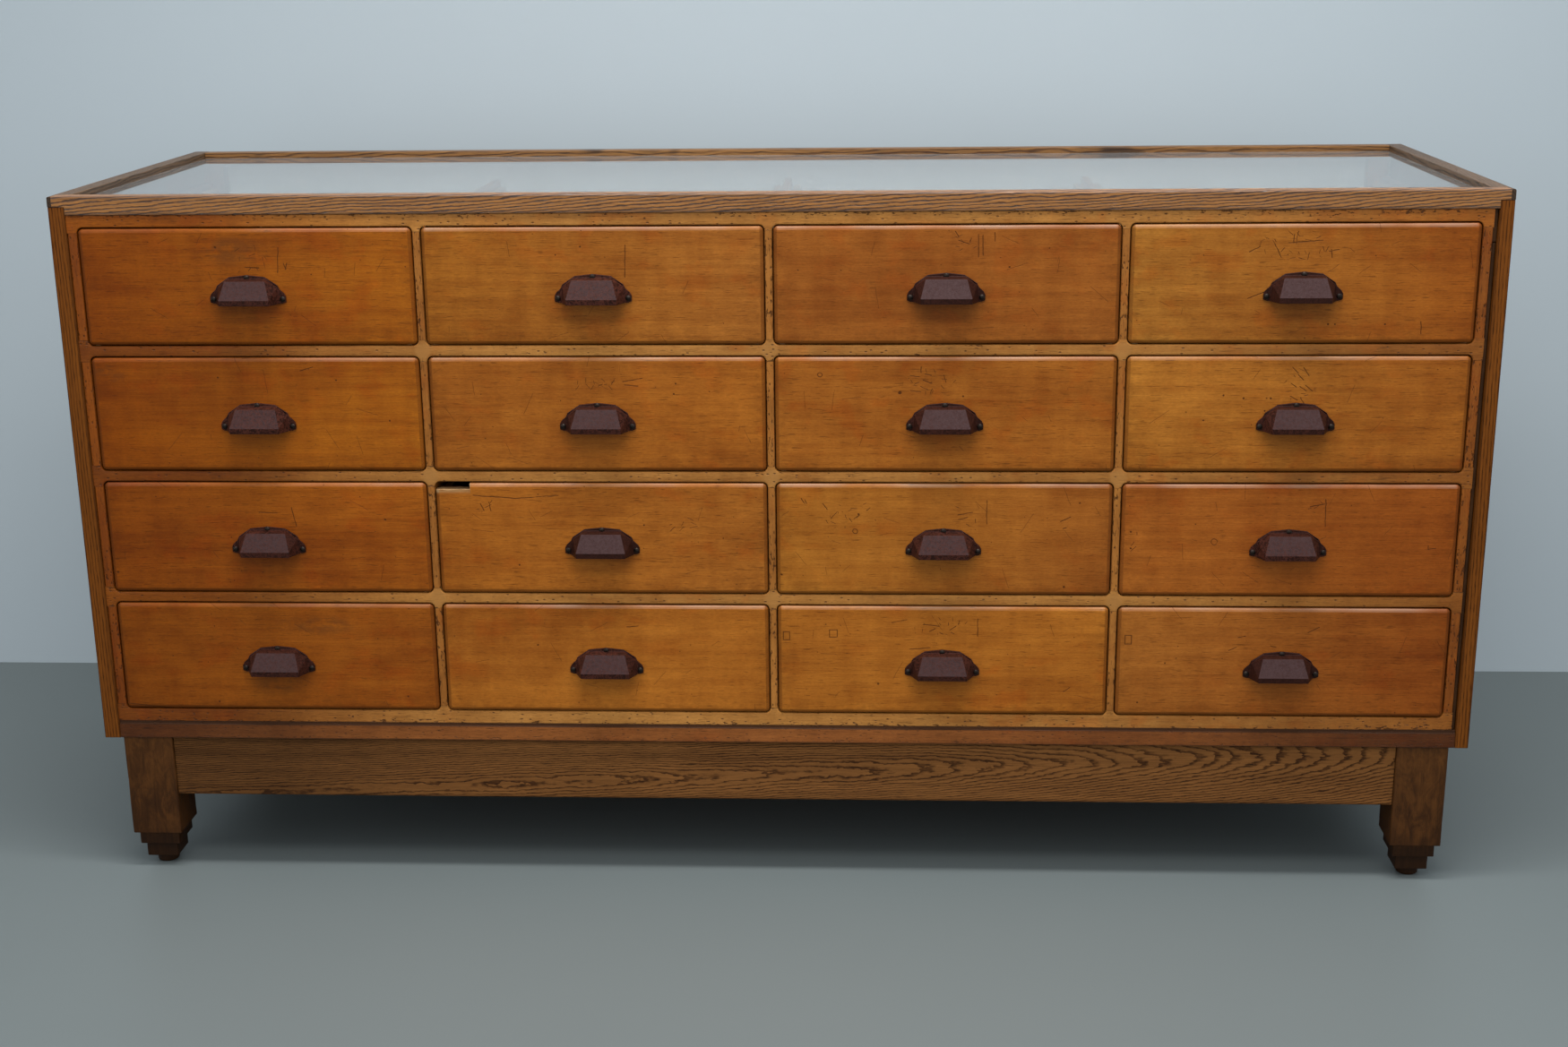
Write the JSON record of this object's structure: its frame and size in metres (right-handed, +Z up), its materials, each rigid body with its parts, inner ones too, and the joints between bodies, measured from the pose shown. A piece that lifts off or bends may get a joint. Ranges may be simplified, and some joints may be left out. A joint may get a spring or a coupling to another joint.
{
  "type": "haberdashery cabinet",
  "caption": "Free-standing shop cabinet with rows of sliding drawers behind faceted cup pulls, a glazed top frame and stepped legs.",
  "frame": {"origin": "on the floor, under the middle of the whole object, pulls included", "axes": "+X to the right as seen from the front, +Y to the back, +Z up; the drawers open towards -Y"},
  "size_m": [1.98, 0.6474, 1.004],
  "materials": {
    "oak_side": "oak, satin varnish, worn",
    "oak_top": "oak, satin varnish, worn",
    "beech_frame": "beech, satin varnish",
    "beech_drawer": "beech, amber varnish",
    "marbled_plastic": "marbled dark moulded plastic, polished",
    "glass": "clear, polished",
    "back_lining": "pale matt paint",
    "red_brown_board": "red-brown stain",
    "dark_strip": "dark stain",
    "dark_oak": "dark oak, satin varnish",
    "stained_leg": "dark stain, satin"
  },
  "bodies": {
    "case": {"side_panel_left": "oak_side", "side_panel_right": "oak_side", "top_rail_left": "oak_top", "top_rail_right": "oak_top", "top_rail_front": "oak_top", "top_rail_back": "oak_top", "glass_top": "glass", "back_panel": "back_lining", "bottom_board": "red_brown_board", "filler_strip": "dark_strip", "face_rail_1": "beech_frame", "face_rail_2": "beech_frame", "face_rail_3": "beech_frame", "face_rail_4": "beech_frame", "face_rail_5": "beech_frame", "partition_left": "beech_frame", "partition_1": "beech_frame", "partition_2": "beech_frame", "partition_3": "beech_frame", "partition_right": "beech_frame", "leg_front_left": "stained_leg", "leg_front_right": "stained_leg", "leg_back_left": "stained_leg", "leg_back_right": "stained_leg", "apron_front": "dark_oak", "apron_back": "dark_oak", "apron_left": "dark_oak", "apron_right": "dark_oak"},
    "drawer_body_1_1": {"drawer_1_1": "beech_drawer", "pull_1_1": "marbled_plastic"},
    "drawer_body_1_2": {"drawer_1_2": "beech_drawer", "pull_1_2": "marbled_plastic"},
    "drawer_body_1_3": {"drawer_1_3": "beech_drawer", "pull_1_3": "marbled_plastic"},
    "drawer_body_1_4": {"drawer_1_4": "beech_drawer", "pull_1_4": "marbled_plastic"},
    "drawer_body_2_1": {"drawer_2_1": "beech_drawer", "pull_2_1": "marbled_plastic"},
    "drawer_body_2_2": {"drawer_2_2": "beech_drawer", "pull_2_2": "marbled_plastic"},
    "drawer_body_2_3": {"drawer_2_3": "beech_drawer", "pull_2_3": "marbled_plastic"},
    "drawer_body_2_4": {"drawer_2_4": "beech_drawer", "pull_2_4": "marbled_plastic"},
    "drawer_body_3_1": {"drawer_3_1": "beech_drawer", "pull_3_1": "marbled_plastic"},
    "drawer_body_3_2": {"drawer_3_2": "beech_drawer", "pull_3_2": "marbled_plastic"},
    "drawer_body_3_3": {"drawer_3_3": "beech_drawer", "pull_3_3": "marbled_plastic"},
    "drawer_body_3_4": {"drawer_3_4": "beech_drawer", "pull_3_4": "marbled_plastic"},
    "drawer_body_4_1": {"drawer_4_1": "beech_drawer", "pull_4_1": "marbled_plastic"},
    "drawer_body_4_2": {"drawer_4_2": "beech_drawer", "pull_4_2": "marbled_plastic"},
    "drawer_body_4_3": {"drawer_4_3": "beech_drawer", "pull_4_3": "marbled_plastic"},
    "drawer_body_4_4": {"drawer_4_4": "beech_drawer", "pull_4_4": "marbled_plastic"}
  },
  "joints": [
    {"name": "drawer_slide_1_1", "type": "slide", "parent": "case", "child": "drawer_body_1_1", "axis": [0, -1, 0], "range_m": [0, 0.42]},
    {"name": "drawer_slide_1_2", "type": "slide", "parent": "case", "child": "drawer_body_1_2", "axis": [0, -1, 0], "range_m": [0, 0.42]},
    {"name": "drawer_slide_1_3", "type": "slide", "parent": "case", "child": "drawer_body_1_3", "axis": [0, -1, 0], "range_m": [0, 0.42]},
    {"name": "drawer_slide_1_4", "type": "slide", "parent": "case", "child": "drawer_body_1_4", "axis": [0, -1, 0], "range_m": [0, 0.42]},
    {"name": "drawer_slide_2_1", "type": "slide", "parent": "case", "child": "drawer_body_2_1", "axis": [0, -1, 0], "range_m": [0, 0.42]},
    {"name": "drawer_slide_2_2", "type": "slide", "parent": "case", "child": "drawer_body_2_2", "axis": [0, -1, 0], "range_m": [0, 0.42]},
    {"name": "drawer_slide_2_3", "type": "slide", "parent": "case", "child": "drawer_body_2_3", "axis": [0, -1, 0], "range_m": [0, 0.42]},
    {"name": "drawer_slide_2_4", "type": "slide", "parent": "case", "child": "drawer_body_2_4", "axis": [0, -1, 0], "range_m": [0, 0.42]},
    {"name": "drawer_slide_3_1", "type": "slide", "parent": "case", "child": "drawer_body_3_1", "axis": [0, -1, 0], "range_m": [0, 0.42]},
    {"name": "drawer_slide_3_2", "type": "slide", "parent": "case", "child": "drawer_body_3_2", "axis": [0, -1, 0], "range_m": [0, 0.42]},
    {"name": "drawer_slide_3_3", "type": "slide", "parent": "case", "child": "drawer_body_3_3", "axis": [0, -1, 0], "range_m": [0, 0.42]},
    {"name": "drawer_slide_3_4", "type": "slide", "parent": "case", "child": "drawer_body_3_4", "axis": [0, -1, 0], "range_m": [0, 0.42]},
    {"name": "drawer_slide_4_1", "type": "slide", "parent": "case", "child": "drawer_body_4_1", "axis": [0, -1, 0], "range_m": [0, 0.42]},
    {"name": "drawer_slide_4_2", "type": "slide", "parent": "case", "child": "drawer_body_4_2", "axis": [0, -1, 0], "range_m": [0, 0.42]},
    {"name": "drawer_slide_4_3", "type": "slide", "parent": "case", "child": "drawer_body_4_3", "axis": [0, -1, 0], "range_m": [0, 0.42]},
    {"name": "drawer_slide_4_4", "type": "slide", "parent": "case", "child": "drawer_body_4_4", "axis": [0, -1, 0], "range_m": [0, 0.42]}
  ]
}
